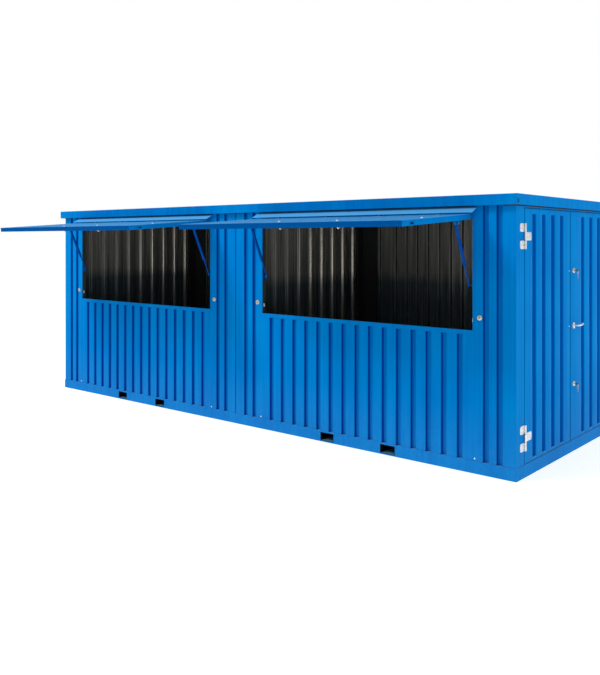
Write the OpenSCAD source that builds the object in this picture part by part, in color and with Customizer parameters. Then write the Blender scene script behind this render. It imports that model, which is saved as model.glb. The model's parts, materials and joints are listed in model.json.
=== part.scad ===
// Container bar: two equal flat-pack steel units set end to end. Each has a serving hatch on
// gas struts in its long front, and the right end of the pair has a double door.
// Millimetres. X runs along the pair with the seam at x = 0, the front faces -Y, Z is up.

/* [Unit] */
// length of one unit, over its base rails
unit_l = 3000; // [2600:10:3600]
// depth of a unit, front to back, over its base rails
unit_w = 2200; // [1900:10:2600]
// height from the ground to the top of the roof rim
unit_h = 2200; // [2120:10:2500]
// height of the base rails
rail_h = 96; // [90:1:130]
// width of the rails' top and bottom flanges
rail_flange = 70; // [60:1:100]
// thickness of the base rails
rail_t = 4; // [3:0.5:6]
// thickness of the floor deck
floor_t = 21; // [15:1:30]
// set-back of walls and posts from the rails' outer faces
wall_inset = 5; // [3:0.5:10]
// depth of the zone that walls and posts take up, from the rails' outer faces
wall_zone = 50; // [48:1:60]

/* [Sheets and grooves] */
// thickness of the wall sheets
sheet_t = 2; // [1.5:0.1:2.5]
// mouth of a front or back groove
groove_w = 52; // [44:1:60]
// floor of a front or back groove
groove_floor_w = 40; // [30:1:44]
// depth of a front or back groove
groove_d = 28; // [18:1:32]
// first groove under the hatch, from the opening's side
groove_edge = 117; // [100:1:130]
// grooves under one hatch, an odd number
groove_count = 15; // [11:2:15]
// outer side groove, as a share of the side panel's width from the post
side_groove_1 = 0.142; // [0.13:0.01:0.2]
// inner side groove, as a share of the side panel's width from the post
side_groove_2 = 0.586; // [0.5:0.01:0.65]
// mouth of a groove in the end walls and doors
end_groove_w = 76; // [60:1:90]
// floor of a groove in the end walls and doors
end_groove_floor_w = 62; // [40:1:66]
// depth of a groove in the end walls and doors
end_groove_d = 30; // [18:1:34]
// first end wall groove, from the corner post
end_groove_edge = 48; // [44:1:60]
// grooves in an end wall, an even number
end_groove_count = 10; // [6:2:10]

/* [Corner posts] */
// front face of a corner post, from the unit's end
post_front_w = 104; // [90:1:110]
// end face of a corner post, from the unit's front
post_end_w = 152; // [130:1:170]
// thickness of the post's folded sheet
post_t = 3; // [2:0.5:5]
// reach of the post's inner flange, from the unit's end
post_flange_w = 256; // [200:1:300]

/* [Roof] */
// height of the roof fascia
fascia_h = 84; // [75:1:110]
// overhang of the roof at front and back
roof_side_out = 45; // [20:1:70]
// overhang of the roof at the free ends
roof_end_out = 26; // [15:1:50]
// thickness of the roof sheet
roof_t = 2; // [1.5:0.1:3]
// width of the roof's raised rim
roof_rim_w = 36; // [30:1:44]
// depth of the roof deck below the rim
roof_deck_drop = 30; // [24:1:36]
// width of a roof rib
roof_rib_w = 40; // [30:1:60]
// height of a roof rib
roof_rib_h = 16; // [10:1:20]
// ribs on one roof
roof_rib_count = 9; // [5:1:11]
// width of the drain slots in the end fascia
drain_w = 18; // [12:1:30]
// height of the drain slots
drain_h = 34; // [20:1:38]
// middle of a drain slot, from the roof's front or back
drain_in = 22; // [16:1:40]
// bottom of a drain slot, above the fascia's lower edge
drain_up = 12; // [6:1:20]
// gap between the two roofs at the seam
roof_seam = 2; // [1:0.5:6]

/* [Fork pockets] */
// clear width of a fork pocket
fork_w = 142; // [120:1:180]
// clear height of a fork pocket
fork_h = 67; // [60:0.5:67]
// clear bottom of a fork pocket, above the ground
fork_z = 14; // [12:0.5:15]
// wall of a fork tube
fork_t = 4; // [3:0.5:5]
// distance between the two pockets of a unit
fork_pitch = 657; // [500:1:900]

/* [Serving opening] */
// wall beside the serving opening, from the unit's end
open_in = 368; // [350:1:420]
// height of the sill
sill_z = 1129; // [1000:1:1250]
// head of the opening, below the roof fascia
head_drop = 86; // [82:1:120]
// thickness of the opening's lining
lining_t = 3; // [2:0.5:4]
// width of the lining's flange at the sides and head
lining_flange = 12; // [8:1:18]
// height of the flat band at the sill
sill_band = 36; // [25:1:50]
// thickness of the lining's flange
flange_t = 3; // [2:0.5:4]
// thickness of the header channel
header_t = 3; // [2:0.5:5]
// inner edge of the header channel, short of the wall zone
header_in = 4; // [2:1:8]

/* [Drip flashing] */
// length of the flashing beyond the opening, each side
flashing_beyond = 46; // [20:1:60]
// reach of the flashing in front of the wall
flashing_out = 100; // [80:1:120]
// fall of the flashing
flashing_fall = 50; // [40:1:54]
// upper edge of the flashing at the wall, below the roof fascia
flashing_drop = 4; // [2:1:8]
// thickness of the flashing
flashing_t = 2; // [1.5:0.1:3]
// height of the flashing's fold against the wall
flashing_lap = 14; // [10:1:18]

/* [Hatch] */
// lap of the hatch over the opening, each side
hatch_lap = 18; // [12:1:24]
// lap of the hatch over the wall below the sill
hatch_low_lap = 89; // [60:1:110]
// thickness of the hatch
hatch_t = 44; // [40:1:50]
// hinge axis, below the roof fascia
axis_drop = 64; // [60:1:66]
// droop of the open hatch below level, in degrees
hatch_droop = 4; // [2:0.5:10]
// gap between the closed hatch and the sill band
hatch_gap = 6; // [5:0.5:10]
// distance from the hinge axis to the hatch's top edge
hatch_top_gap = 13; // [12:0.5:16]
// depth of the skin's folded rim
hatch_rim = 18; // [12:1:22]
// width of the frame bars
hatch_bar = 30; // [24:1:40]
// wall of the frame bars
hatch_bar_t = 2; // [1.5:0.1:3]
// depth of the grooves in the hatch skin
hatch_groove_d = 24; // [12:1:28]
// lock slot, from the hatch's lower edge
hatch_slot_in = 132; // [110:1:190]
// lock slot's length
hatch_slot_l = 44; // [30:1:60]
// lock slot's height
hatch_slot_h = 14; // [8:1:16]
// lock slot, behind the skin's rim
hatch_slot_off = 3; // [2:0.5:6]
// ends of the skin's grooves, from the frame bars
hatch_groove_in = 30; // [20:1:60]

/* [Hatch hinges] */
// hinges on one hatch
hinge_count = 4; // [3:1:6]
// radius of a knuckle
knuckle_r = 8; // [7:0.5:9]
// radius of the hinge pin
hinge_pin_r = 4; // [3:0.5:5]
// length of a knuckle
knuckle_l = 26; // [20:1:40]
// clearance round the hinge pins
pin_play = 0.3; // [0.2:0.05:0.5]
// gap between neighbouring knuckles
knuckle_gap = 1; // [0.5:0.5:2]
// thickness of a hinge's foot on the header
hinge_foot_t = 4; // [3:0.5:6]
// thickness of a hinge's arm
hinge_arm_t = 5; // [4:0.5:6]
// underside of a hinge's arm, above the axis
hinge_arm_up = 4; // [3:0.5:5]
// top of a hinge's foot, below the flashing's upper edge
hinge_foot_drop = 20; // [16:1:24]
// seat of the moving knuckles on the frame bar
knuckle_seat = 4; // [3:1:8]

/* [Gas struts] */
// strut plane, in from the opening's side
strut_in = 42; // [38:1:60]
// upper pivot, along the hatch from the hinge axis
strut_along = 155; // [140:1:180]
// upper pivot, in from the hatch's outer face
strut_deep = 64; // [60:1:70]
// lower pivot, behind the unit's front
strut_back = 25; // [20:1:32]
// lower pivot, below the hinge axis
strut_drop = 567; // [540:1:590]
// radius of the strut's tube
tube_r = 13; // [9:0.5:14]
// end of the tube, before the lower pivot when the hatch is closed
tube_end = 40; // [30:1:60]
// radius of the strut's rod
rod_r = 6; // [4:0.5:7]
// length of the rod, from the lower pivot
rod_l = 190; // [180:1:230]
// radius of the eyes
eye_r = 12; // [10:0.5:14]
// thickness of the eyes
eye_t = 14; // [10:1:16]
// radius of the pivot pins
strut_pin_r = 4; // [3:0.5:5]
// thickness of the pivot plates
strut_plate_t = 4; // [3:0.5:6]
// radius of the bosses and studs at the upper pivots
boss_r = 7; // [5:0.5:9]
// gap between a boss and its stud
boss_gap = 1; // [0.5:0.5:2]
// length of the studs on the hatch
stud_l = 7; // [5:1:10]
// half the length of a strut's lug on the hatch
lug_half = 15; // [12:1:20]
// reach of a lug past the strut's pivot
lug_past = 12; // [10:1:16]
// overlap of a lug with the frame bar
lug_root = 16; // [10:1:20]
// half the width of a pivot plate
strut_plate_half = 16; // [14:1:20]
// half the height of a pivot plate
strut_plate_up = 32; // [24:1:40]
// reach of a pivot pin past the strut's eye
pin_past = 3; // [2:0.5:5]

/* [Hatch locks] */
// lock, out from the opening's side
lock_off = 62; // [50:1:70]
// lock, above the sill
lock_up = 105; // [80:1:150]
// radius of the lock's rose
lock_r = 22; // [16:1:24]
// thickness of the lock's rose
lock_t = 9; // [6:1:14]
// radius of the lock's core
lock_core_r = 9; // [7:0.5:11]
// how far the core stands proud of the rose
lock_core_out = 3; // [1:0.5:5]
// bevel of the rose
lock_bevel = 5; // [3:0.5:7]
// width of the key slot
key_slot_w = 3; // [2:0.5:4]
// depth of a catch from the lining's side
catch_d = 12; // [8:1:16]
// width of a catch
catch_w = 14; // [10:1:18]
// height of a catch
catch_h = 32; // [24:1:40]
// middle of a catch, below the lock
catch_drop = 24; // [20:1:40]

/* [Doors] */
// gap round each door leaf
door_gap = 6; // [5:0.5:9]
// thickness of a door leaf
door_t = 40; // [38:1:42]
// height of a door's top edge below the roof fascia
door_top_gap = 24; // [20:1:40]
// width of the folded lip inside a door leaf
door_lip = 24; // [15:1:35]
// grooves in the front leaf
front_leaf_grooves = 4; // [2:1:4]
// first groove of the front leaf, from its edges
front_leaf_edge = 186; // [160:1:200]
// grooves in the rear leaf
rear_leaf_grooves = 3; // [2:1:3]
// first groove of the rear leaf, from its lock edge
rear_lock_edge = 298; // [270:1:310]
// last groove of the rear leaf, from its hinge edge
rear_hinge_edge = 234; // [180:1:240]
// distance of the grooves from a leaf's lower edge
leaf_groove_low = 16; // [10:1:40]
// distance of the grooves from a leaf's upper edge
leaf_groove_top = 36; // [20:1:60]

/* [Door hinges] */
// height of a hinge
door_hinge_h = 200; // [160:1:240]
// middle of the lower hinge, above the leaf's lower edge
hinge_low_in = 206; // [160:1:240]
// middle of the upper hinge, below the leaf's upper edge
hinge_high_in = 217; // [160:1:240]
// width of a plate on the post
post_plate_w = 80; // [60:1:100]
// width of a plate on the leaf
leaf_plate_w = 126; // [90:1:140]
// thickness of the hinge plates
plate_t = 4; // [3:0.5:5]
// radius of a door hinge's knuckle
door_knuckle_r = 9; // [8:0.5:10]
// radius of a door hinge's pin
door_pin_r = 5; // [4:0.5:6]

/* [Door furniture] */
// distance of locks and lever from the meeting edge
furniture_in = 72; // [55:1:80]
// height of the lever
lever_z = 1098; // [1050:1:1150]
// height of the upper lock
lock_high_z = 1578; // [1500:1:1650]
// height of the lower lock
lock_low_z = 588; // [540:1:640]
// radius of the lock roses
rose_r = 22; // [18:1:26]
// thickness of the lock roses
rose_t = 9; // [7:1:12]
// length of the lever
lever_l = 115; // [100:1:130]
// distance of the lever's grip from the leaf
lever_out = 50; // [45:1:60]
// radius of the lever's grip
lever_r = 8; // [6:0.5:9]

/* [Hidden] */
$fn = 48;
front_y = -unit_w / 2;
face_y = front_y + wall_inset;
face_x = unit_l / 2 - wall_inset;
wall_top = unit_h - roof_deck_drop - roof_t;
wall_h = wall_top - rail_h;
fascia_z = unit_h - fascia_h;
open_half = unit_l / 2 - open_in;
head_z = fascia_z - head_drop;
flashing_z = fascia_z - flashing_drop;
hatch_axis_z = fascia_z - axis_drop;
hatch_w = 2 * (open_half + hatch_lap);
hatch_l = hatch_axis_z - sill_z + hatch_low_lap;
hatch_slot_at = hatch_l - hatch_slot_in;
strut_z = hatch_axis_z - strut_drop;
lock_x = open_half + lock_off;
lock_z = sill_z + lock_up;
groove_pitch = 2 * (open_half - groove_edge) / (groove_count - 1);
panel_w = open_in - lining_t - post_front_w;
side_xs = [post_front_w + side_groove_1 * panel_w, post_front_w + side_groove_2 * panel_w];
band_y = face_y - flange_t;
axis_y = band_y - hatch_gap - hatch_t;
lining_low = sill_z - lining_t;
lining_high = head_z + lining_t;
open_turn = 90 - hatch_droop;
strut_x = open_half - strut_in;
strut_y = front_y + strut_back;
upper_y = axis_y - strut_along * cos(hatch_droop) + strut_deep * sin(hatch_droop);
upper_z = hatch_axis_z - strut_along * sin(hatch_droop) - strut_deep * cos(hatch_droop);
strut_tilt = atan2(strut_y - upper_y, upper_z - strut_z);
strut_len = norm([upper_y - strut_y, upper_z - strut_z]);
shut_len = norm([axis_y + strut_deep - strut_y, strut_drop - strut_along]);
tube_l = shut_len - tube_end;
door_half = unit_w / 2 - post_end_w;
leaf_w = door_half - 1.5 * door_gap;
leaf_low = rail_h + door_gap;
leaf_high = fascia_z - door_top_gap;
leaf_h = leaf_high - leaf_low;
leaf_mid = door_half - door_gap - leaf_w / 2;
door_face_x = unit_l - wall_inset;
door_axis_x = door_face_x + door_knuckle_r;
door_axis_y = door_half - door_gap / 2;
end_groove_pitch = 2 * (door_half - end_groove_edge) / (end_groove_count - 1);
front_leaf_pitch = (leaf_w - 2 * front_leaf_edge) / (front_leaf_grooves - 1);
rear_leaf_pitch = (leaf_w - rear_lock_edge - rear_hinge_edge) / (rear_leaf_grooves - 1);
rear_leaf_shift = (rear_lock_edge - rear_hinge_edge) / 2;
door_hinge_low = leaf_low + hinge_low_in;
door_hinge_high = leaf_high - hinge_high_in;

blue = [0.0, 0.42, 0.72];
pale = [0.45, 0.7, 0.9];
zinc = [0.75, 0.77, 0.79];
dark = [0.12, 0.12, 0.13];
wood = [0.55, 0.4, 0.26];

// outer line of a grooved sheet: mouths on y = 0, floors at depth d
function groove_line(xs, w, f, d) =
    [for (x = xs) each [[x - w / 2, 0], [x - f / 2, d], [x + f / 2, d], [x + w / 2, 0]]];

function flip(p) = [for (i = [len(p) - 1 : -1 : 0]) p[i]];

// how far a bend of the sheet moves out on its inner side
function bend(w, f, d) = sheet_t * tan(atan2(d, (w - f) / 2) / 2);

// section of a grooved sheet from x0 to x1, outer face on y = 0, grooves going to +y
module sheet_section(x0, x1, xs, w, f, d) {
    e = 2 * bend(w, f, d);
    inner = [for (p = groove_line(xs, w + e, f + e, d)) [p[0], p[1] + sheet_t]];
    polygon(concat(
        [[x0, 0]], groove_line(xs, w, f, d), [[x1, 0], [x1, sheet_t]],
        flip(inner), [[x0, sheet_t]]
    ));
}

module unit_at(side) {
    translate([side * unit_l / 2, 0, 0]) children();
}

module block(x0, x1, y0, y1, z0, z1) {
    translate([x0, y0, z0]) cube([x1 - x0, y1 - y0, z1 - z0]);
}

// welded ring of C-channels with the fork pockets cut through front and back
module base_frame(side) {
    a = unit_l / 2;
    b = unit_w / 2;
    color(blue) unit_at(side) difference() {
        block(-a, a, -b, b, 0, rail_h);
        block(-a + rail_t, a - rail_t, -b + rail_t, b - rail_t, rail_t, rail_h - rail_t);
        block(-a + rail_flange, a - rail_flange, -b + rail_flange, b - rail_flange, -1, rail_h + 1);
        for (s = [-1, 1]) {
            x = s * fork_pitch / 2;
            h = fork_w / 2 + fork_t;
            block(x - h, x + h, -b - 1, b + 1, fork_z - fork_t, fork_z + fork_h + fork_t);
        }
    }
}

module fork_tubes(side) {
    b = unit_w / 2;
    color(blue) unit_at(side) for (s = [-1, 1]) translate([s * fork_pitch / 2, 0, fork_z]) difference() {
        block(-fork_w / 2 - fork_t, fork_w / 2 + fork_t, -b, b, -fork_t, fork_h + fork_t);
        block(-fork_w / 2, fork_w / 2, -b - 1, b + 1, 0, fork_h);
    }
}

module floor_deck(side) {
    a = unit_l / 2 - wall_zone - 1;
    b = unit_w / 2 - wall_zone - 1;
    color(wood) unit_at(side) block(-a, a, -b, b, rail_h, rail_h + floor_t);
}

// L-shaped hollow post with an inner flange along the long wall, in the corner (sx, sy)
module post_section(sx, sy) {
    i = wall_inset;
    t = post_t;
    outer = [
        [i, i], [post_front_w, i], [post_front_w, wall_zone - t], [post_flange_w, wall_zone - t],
        [post_flange_w, wall_zone], [wall_zone, wall_zone], [wall_zone, post_end_w], [i, post_end_w]
    ];
    inner = [
        [i + t, i + t], [post_front_w - t, i + t], [post_front_w - t, wall_zone - t],
        [wall_zone - t, wall_zone - t], [wall_zone - t, post_end_w - t], [i + t, post_end_w - t]
    ];
    difference() {
        polygon([for (p = outer) [sx * (unit_l / 2 - p[0]), sy * (unit_w / 2 - p[1])]]);
        polygon([for (p = inner) [sx * (unit_l / 2 - p[0]), sy * (unit_w / 2 - p[1])]]);
    }
}

module corner_posts(side) {
    color(blue) unit_at(side) for (sx = [-1, 1], sy = [-1, 1])
        translate([0, 0, rail_h]) linear_extrude(wall_h) post_section(sx, sy);
}

// front panels between the posts and the serving opening
module side_panels(side) {
    a = unit_l / 2;
    w = open_half + lining_t;
    xs = [for (s = side_xs) s - a];
    color(blue) unit_at(side) translate([0, face_y, rail_h]) linear_extrude(wall_h) {
        sheet_section(post_front_w - a, -w, xs, groove_w, groove_floor_w, groove_d);
        mirror([1, 0]) sheet_section(post_front_w - a, -w, xs, groove_w, groove_floor_w, groove_d);
    }
}

function mid_xs() = [for (k = [0 : groove_count - 1]) (k - (groove_count - 1) / 2) * groove_pitch];

module lower_wall(side) {
    w = open_half + lining_t;
    color(blue) unit_at(side) translate([0, face_y, rail_h]) linear_extrude(lining_low - rail_h)
        sheet_section(-w, w, mid_xs(), groove_w, groove_floor_w, groove_d);
}

// channel over the serving opening, open towards the room
module header(side) {
    w = open_half + lining_t;
    inner_y = front_y + wall_zone - header_in;
    color(blue) unit_at(side) difference() {
        block(-w, w, face_y, inner_y, lining_high, wall_top);
        block(-w - 1, w + 1, face_y + header_t, inner_y + 1, lining_high + header_t, wall_top - header_t);
    }
}

// folded lining of the serving opening with a flange on the front and a flat band at the sill
module lining(side) {
    w = open_half + lining_t;
    f = open_half + lining_flange;
    color(blue) unit_at(side) difference() {
        union() {
            block(-w, w, face_y, front_y + wall_zone, lining_low, lining_high);
            block(-f, f, band_y, face_y, sill_z - sill_band, head_z + lining_flange);
        }
        block(-open_half, open_half, band_y - 1, front_y + wall_zone + 1, sill_z, head_z);
    }
}

module back_wall(side) {
    a = unit_l / 2;
    xs = concat([for (s = side_xs) s - a], mid_xs(), [for (s = flip(side_xs)) a - s]);
    color(blue) unit_at(side) translate([0, -face_y, rail_h]) rotate([0, 0, 180]) linear_extrude(wall_h)
        sheet_section(post_front_w - a, a - post_front_w, xs, groove_w, groove_floor_w, groove_d);
}

// wall across a unit's end; turn 1 faces -X, turn -1 faces +X
module end_wall(side, turn) {
    b = unit_w / 2 - post_end_w;
    ys = [for (k = [0 : end_groove_count - 1]) (k - (end_groove_count - 1) / 2) * end_groove_pitch];
    color(blue) unit_at(side) translate([-turn * face_x, 0, rail_h]) rotate([0, 0, -90 * turn])
        linear_extrude(wall_h) sheet_section(-b, b, ys, end_groove_w, end_groove_floor_w, end_groove_d);
}

// folded roof tray: fascia, raised rim, sunken deck with hollow ribs, drain slots at the free end
module roof(side) {
    x0 = -unit_l / 2 + roof_seam / 2;
    x1 = unit_l / 2 + roof_end_out;
    b = unit_w / 2 + roof_side_out;
    t = roof_t;
    r = roof_rim_w;
    deck_z = unit_h - roof_deck_drop;
    step = (x1 - x0 - 2 * r) / roof_rib_count;
    color(blue) unit_at(side) scale([side, 1, 1]) difference() {
        union() {
            difference() {
                block(x0, x1, -b, b, fascia_z, unit_h);
                block(x0 + r, x1 - r, -b + r, b - r, deck_z, unit_h + 1);
            }
            for (k = [0 : roof_rib_count - 1]) {
                x = x0 + r + (k + 0.5) * step;
                block(x - roof_rib_w / 2, x + roof_rib_w / 2, -b + 2 * r, b - 2 * r, deck_z - t, deck_z + roof_rib_h);
            }
        }
        block(x0 + t, x1 - t, -b + t, b - t, fascia_z - 1, deck_z - t);
        difference() {
            block(x0 + t, x1 - t, -b + t, b - t, deck_z - t - 1, unit_h - t);
            block(x0 + r - t, x1 - r + t, -b + r - t, b - r + t, deck_z - t - 2, unit_h);
        }
        for (k = [0 : roof_rib_count - 1]) {
            x = x0 + r + (k + 0.5) * step;
            h = roof_rib_w / 2 - t;
            block(x - h, x + h, -b + 2 * r + t, b - 2 * r - t, deck_z - t - 1, deck_z + roof_rib_h - t);
        }
        for (s = [-1, 1]) translate([x1 - t - 1, s * (b - drain_in) - drain_w / 2, fascia_z + drain_up])
            cube([t + 2, drain_w, drain_h]);
    }
}

module flashing(side) {
    w = open_half + flashing_beyond;
    t = flashing_t;
    y1 = face_y - flashing_out;
    z1 = flashing_z - flashing_fall;
    color(pale) unit_at(side) translate([-w, 0, 0]) rotate([90, 0, 90]) linear_extrude(2 * w) polygon([
        [face_y, flashing_z], [y1, z1], [y1, z1 - t], [face_y - t, flashing_z - 3 * t],
        [face_y - t, flashing_z - flashing_lap], [face_y, flashing_z - flashing_lap]
    ]);
}

module door_lintel() {
    x1 = door_face_x;
    x0 = unit_l - wall_zone;
    color(blue) difference() {
        block(x0, x1, -door_half, door_half, leaf_high + door_gap, wall_top);
        block(x0 - 1, x1 - post_t, -door_half - 1, door_half + 1, leaf_high + door_gap + post_t, wall_top - post_t);
    }
}

// puts what is drawn for a closed hatch, with the hinge axis as origin, into its open place
module hatch_at(side) {
    unit_at(side) translate([0, axis_y, hatch_axis_z]) rotate([-open_turn, 0, 0]) children();
}

// hollow frame bars of the hatch with lock slots, hinge knuckles and strut lugs
module hatch_frame(side) {
    w = hatch_w / 2 - sheet_t;
    l = hatch_l - sheet_t;
    g = hatch_top_gap;
    k = hatch_bar;
    t = hatch_bar_t;
    y0 = sheet_t;
    color(blue) hatch_at(side) difference() {
        union() {
            difference() {
                block(-w, w, y0, hatch_t, -l, -g);
                block(-w + k, w - k, y0 - 1, hatch_t + 1, -l + k, -g - k);
            }
            for (i = [0 : hinge_count - 1]) {
                x = hinge_x(i) + knuckle_gap / 2;
                translate([x, 0, 0]) rotate([0, 90, 0]) cylinder(h = knuckle_l, r = knuckle_r);
                block(x, x + knuckle_l, y0, knuckle_r, -g - knuckle_seat, -hinge_pin_r);
            }
            for (s = [-1, 1]) scale([s, 1, 1])
                block(lug_x(), w - k + 1, hatch_t - lug_root, strut_deep + lug_past,
                      -strut_along - lug_half, -strut_along + lug_half);
            for (s = [-1, 1]) scale([s, 1, 1]) translate([lug_x() - stud_l, strut_deep, -strut_along])
                rotate([0, 90, 0]) cylinder(h = stud_l + 1, r = boss_r);
        }
        difference() {
            block(-w + t, w - t, y0 + t, hatch_t - t, -l + t, -g - t);
            block(-w + k - t, w - k + t, y0, hatch_t, -l + k - t, -g - k + t);
        }
        for (i = [0 : hinge_count - 1]) translate([hinge_x(i), 0, 0])
            rotate([0, 90, 0]) cylinder(h = knuckle_l + 2, r = hinge_pin_r + pin_play);
        for (s = [-1, 1]) scale([s, 1, 1])
            block(w - t - 1, w + 1, hatch_rim + hatch_slot_off, hatch_rim + hatch_slot_off + hatch_slot_h,
                  -hatch_slot_at - hatch_slot_l / 2, -hatch_slot_at + hatch_slot_l / 2);
    }
}

function hinge_x(i) = -hatch_w / 2 + hatch_w * (i + 0.5) / hinge_count;

// the lugs' studs stop short of the bosses beside them
function boss_x() = tube_r + 0.5;
function lug_x() = strut_x + boss_x() + boss_gap + stud_l;

// grooved outer sheet of the hatch with a folded rim on three sides
module hatch_skin(side) {
    w = hatch_w / 2;
    t = sheet_t;
    z0 = -hatch_l + hatch_bar + hatch_groove_in;
    z1 = -hatch_top_gap - hatch_bar - hatch_groove_in;
    e = 2 * bend(groove_w, groove_floor_w, hatch_groove_d);
    color(blue) hatch_at(side) difference() {
        union() {
            difference() {
                block(-w, w, 0, hatch_rim, -hatch_l, -hatch_top_gap);
                block(-w + t, w - t, t, hatch_rim + 1, -hatch_l + t, 1);
            }
            for (x = mid_xs()) translate([x, 0, z0 - t]) linear_extrude(z1 - z0 + 2 * t)
                polygon([
                    [-(groove_w + e) / 2, t], [-(groove_floor_w + e) / 2, hatch_groove_d + t],
                    [(groove_floor_w + e) / 2, hatch_groove_d + t], [(groove_w + e) / 2, t],
                    [(groove_w + e) / 2, 0], [-(groove_w + e) / 2, 0]
                ]);
        }
        for (x = mid_xs()) translate([x, 0, z0]) linear_extrude(z1 - z0) polygon([
            [-groove_w / 2, -1], [-groove_w / 2, 0], [-groove_floor_w / 2, hatch_groove_d],
            [groove_floor_w / 2, hatch_groove_d], [groove_w / 2, 0], [groove_w / 2, -1]
        ]);
    }
}

// fixed halves of the hatch hinges: foot on the header, arm, knuckle and pin
module hatch_hinges() {
    z0 = hatch_axis_z + hinge_arm_up;
    color(zinc) for (side = [-1, 1]) unit_at(side) for (i = [0 : hinge_count - 1]) {
        x1 = hinge_x(i) - knuckle_gap / 2;
        x0 = x1 - knuckle_l;
        block(x0, x1, face_y - hinge_foot_t, face_y, z0, flashing_z - hinge_foot_drop);
        block(x0, x1, axis_y, face_y - 1, z0, z0 + hinge_arm_t);
        translate([x0, axis_y, hatch_axis_z]) rotate([0, 90, 0]) cylinder(h = knuckle_l, r = knuckle_r);
        translate([x1 - 1, axis_y, hatch_axis_z]) rotate([0, 90, 0])
            cylinder(h = knuckle_l + knuckle_gap + 2, r = hinge_pin_r);
    }
}

// puts a strut drawn upright on its lower pivot into its place at both sides of the opening
module strut_at(side) {
    unit_at(side) for (s = [-1, 1]) translate([s * strut_x, strut_y, strut_z])
        rotate([strut_tilt, 0, 0]) children();
}

module eye() {
    translate([-eye_t / 2, 0, 0]) rotate([0, 90, 0]) cylinder(h = eye_t, r = eye_r);
}

module strut_rods(side) {
    color(zinc) strut_at(side) difference() {
        union() {
            eye();
            cylinder(h = rod_l, r = rod_r);
        }
        translate([-eye_t, 0, 0]) rotate([0, 90, 0]) cylinder(h = 2 * eye_t, r = strut_pin_r + pin_play);
    }
}

module strut_tubes(side) {
    color(dark) strut_at(side) difference() {
        union() {
            translate([0, 0, strut_len]) eye();
            translate([-boss_x(), 0, strut_len]) rotate([0, 90, 0]) cylinder(h = 2 * boss_x(), r = boss_r);
            translate([0, 0, strut_len - tube_l]) cylinder(h = tube_l - eye_r + 4, r = tube_r);
        }
        translate([0, 0, strut_len - tube_l - 1]) cylinder(h = tube_l - 40, r = rod_r + pin_play);
    }
}

// plates on the lining with the struts' lower pins
module strut_plates() {
    color(zinc) for (side = [-1, 1]) unit_at(side) for (s = [-1, 1]) scale([s, 1, 1]) {
        block(open_half - strut_plate_t, open_half, strut_y - strut_plate_half, strut_y + strut_plate_half,
              strut_z - strut_plate_up, strut_z + strut_plate_up);
        translate([strut_x - eye_t / 2 - pin_past, strut_y, strut_z]) rotate([0, 90, 0])
            cylinder(h = strut_in + eye_t / 2 + pin_past - strut_plate_t / 2, r = strut_pin_r);
    }
}

// round locks beside the hatches, and their catches inside the opening
module hatch_locks() {
    color(zinc) for (side = [-1, 1]) unit_at(side) for (s = [-1, 1]) scale([s, 1, 1]) {
        translate([lock_x, face_y, lock_z]) rotate([90, 0, 0]) difference() {
            union() {
                cylinder(h = lock_t / 2, r = lock_r);
                cylinder(h = lock_t, r1 = lock_r + lock_bevel, r2 = lock_r - lock_bevel);
                cylinder(h = lock_t + lock_core_out, r = lock_core_r);
            }
            translate([-key_slot_w / 2, -lock_core_r / 2, lock_t]) cube([key_slot_w, lock_core_r, lock_core_out + 1]);
            difference() {
                translate([0, 0, -1]) cylinder(h = lock_t + 2, r = lock_r + 2 * lock_bevel);
                translate([0, 0, -2]) cylinder(h = lock_t + 4, r = lock_r);
            }
        }
        block(open_half - catch_d, open_half, strut_y - catch_w / 2, strut_y + catch_w / 2,
              lock_z - catch_drop - catch_h / 2, lock_z - catch_drop + catch_h / 2);
    }
}

// folded door leaf: grooved face at x = 0, room towards -x, hinge edge at +y, lock edge at -y
module leaf(ys) {
    t = sheet_t;
    h = leaf_w / 2;
    z0 = leaf_groove_low;
    z1 = leaf_h - leaf_groove_top;
    e = 2 * bend(end_groove_w, end_groove_floor_w, end_groove_d);
    difference() {
        union() {
            difference() {
                block(-door_t, 0, -h, h, 0, leaf_h);
                block(-door_t + t, -t, -h + t, h - t, t, leaf_h - t);
                block(-door_t - 1, -t, -h + door_lip, h - door_lip, door_lip, leaf_h - door_lip);
            }
            for (y = ys) translate([0, y, z0 - t]) rotate([0, 0, 90]) linear_extrude(z1 - z0 + 2 * t)
                polygon([
                    [-(end_groove_w + e) / 2, t], [-(end_groove_floor_w + e) / 2, end_groove_d + t],
                    [(end_groove_floor_w + e) / 2, end_groove_d + t], [(end_groove_w + e) / 2, t],
                    [(end_groove_w + e) / 2, 0], [-(end_groove_w + e) / 2, 0]
                ]);
        }
        for (y = ys) translate([0, y, z0]) rotate([0, 0, 90]) linear_extrude(z1 - z0) polygon([
            [-end_groove_w / 2, -1], [-end_groove_w / 2, 0], [-end_groove_floor_w / 2, end_groove_d],
            [end_groove_floor_w / 2, end_groove_d], [end_groove_w / 2, 0], [end_groove_w / 2, -1]
        ]);
    }
}

function leaf_ys(n, pitch, shift) = [for (k = [0 : n - 1]) (k - (n - 1) / 2) * pitch + shift];

module front_door_leaf() {
    color(blue) translate([door_face_x, -leaf_mid, leaf_low])
        leaf(leaf_ys(front_leaf_grooves, front_leaf_pitch, 0));
}

module rear_door_leaf() {
    color(blue) translate([door_face_x, leaf_mid, leaf_low])
        leaf(leaf_ys(rear_leaf_grooves, rear_leaf_pitch, rear_leaf_shift));
}

// heights of the door hinges' plates: two on the post, one on the leaf between them
function plate_h() = (door_hinge_h - 2 * knuckle_gap) / 3;

module on_door_hinges(sides) {
    for (s = sides, z = [door_hinge_low, door_hinge_high]) scale([1, s, 1])
        translate([door_axis_x, door_axis_y, z - door_hinge_h / 2]) children();
}

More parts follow.
